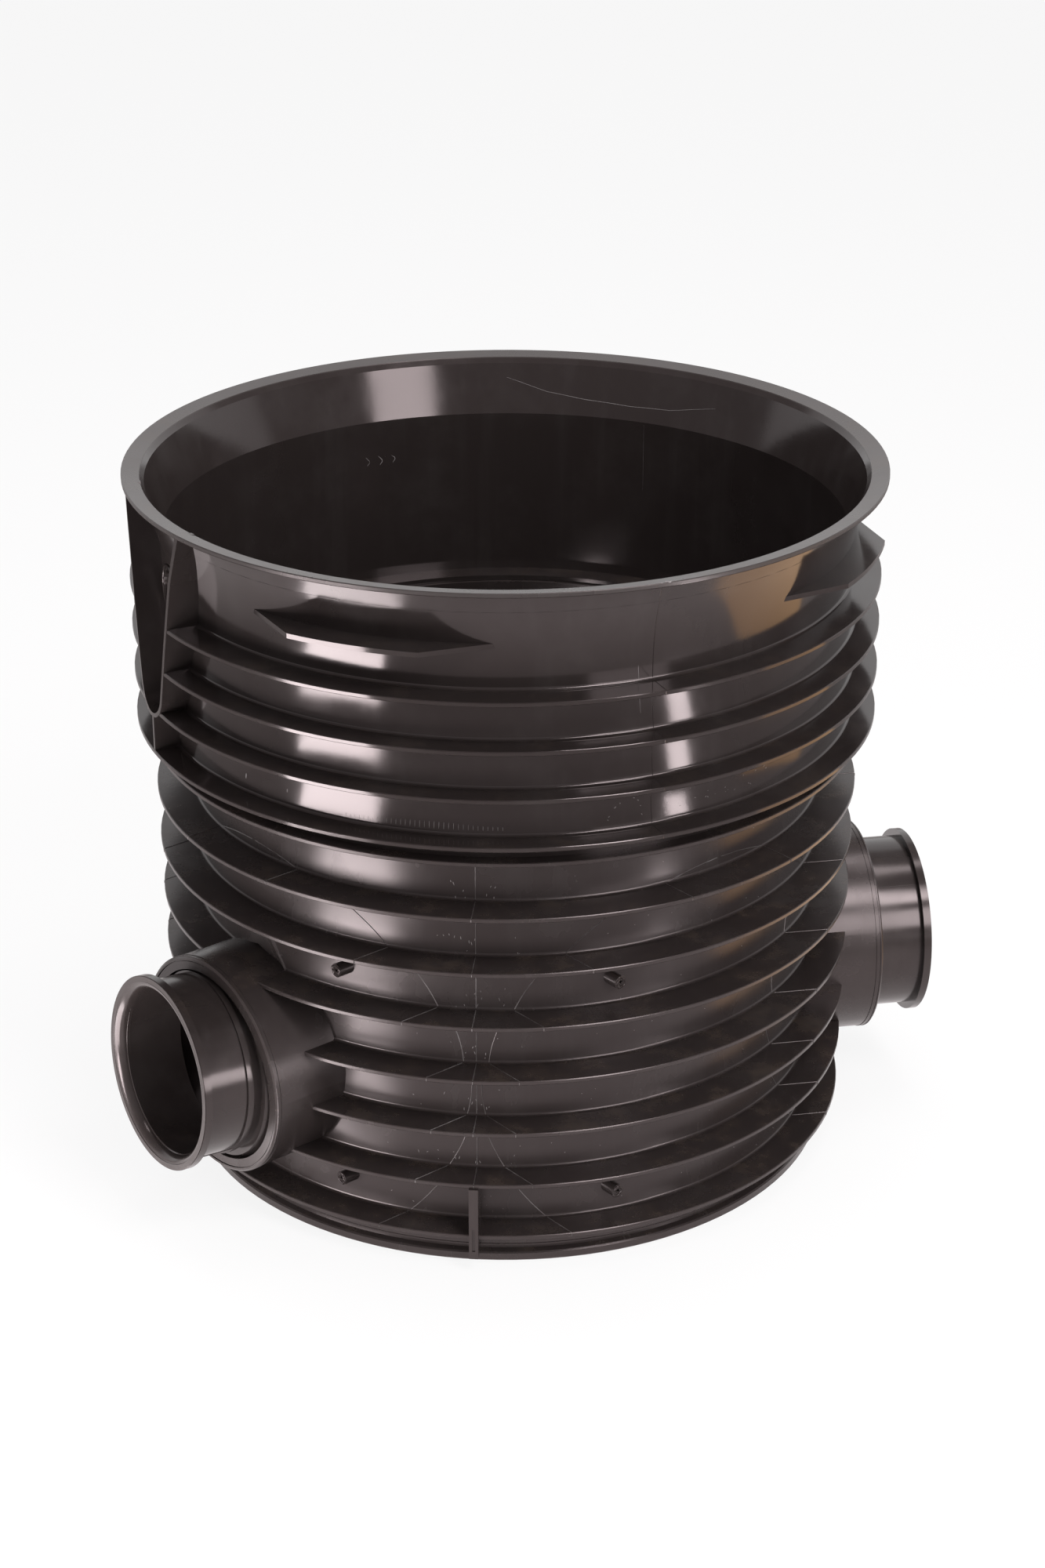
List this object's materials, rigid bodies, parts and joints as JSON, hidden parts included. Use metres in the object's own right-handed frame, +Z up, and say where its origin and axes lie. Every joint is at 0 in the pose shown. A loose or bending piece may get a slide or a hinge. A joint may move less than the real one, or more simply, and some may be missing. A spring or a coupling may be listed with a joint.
{
  "type": "drain inspection chamber",
  "caption": "Round ribbed plastic drain inspection chamber with a socket ring on a base, a bent open channel inside and swivelling pipe spigots.",
  "frame": {"origin": "on the chamber's vertical axis, in the plane of the foot that it stands on", "axes": "+Z up along the chamber's axis; -Y towards the key fin and parting line at the base's front; the outlet boss points 15 degrees from +X towards +Y, the inlet boss 135 degrees the other way"},
  "size_m": [0.5991, 0.548, 0.52],
  "materials": {
    "base_plastic": "satin black moulded plastic",
    "ring_plastic": "semi-gloss black moulded plastic",
    "spigot_plastic": "satin black moulded plastic",
    "seal_rubber": "black rubber"
  },
  "bodies": {
    "chamber": {"chamber_base": "base_plastic", "socket_ring": "ring_plastic", "joint_seal": "seal_rubber", "inlet_retainer": "base_plastic", "outlet_retainer": "base_plastic", "inlet_seal": "seal_rubber", "outlet_seal": "seal_rubber"},
    "inlet": {"inlet_spigot": "spigot_plastic"},
    "outlet": {"outlet_spigot": "spigot_plastic"}
  },
  "joints": [
    {"name": "inlet_swivel", "type": "hinge", "parent": "chamber", "child": "inlet", "pos_m": [-0.17416, -0.17416, 0.1235], "axis": [-0.3906, 0.3906, -0.8336], "range_deg": [-14.2, 0.8]},
    {"name": "outlet_swivel", "type": "hinge", "parent": "chamber", "child": "outlet", "pos_m": [0.23791, 0.06375, 0.1235], "axis": [0, 0, 1], "range_deg": [-7.5, 7.5]}
  ]
}
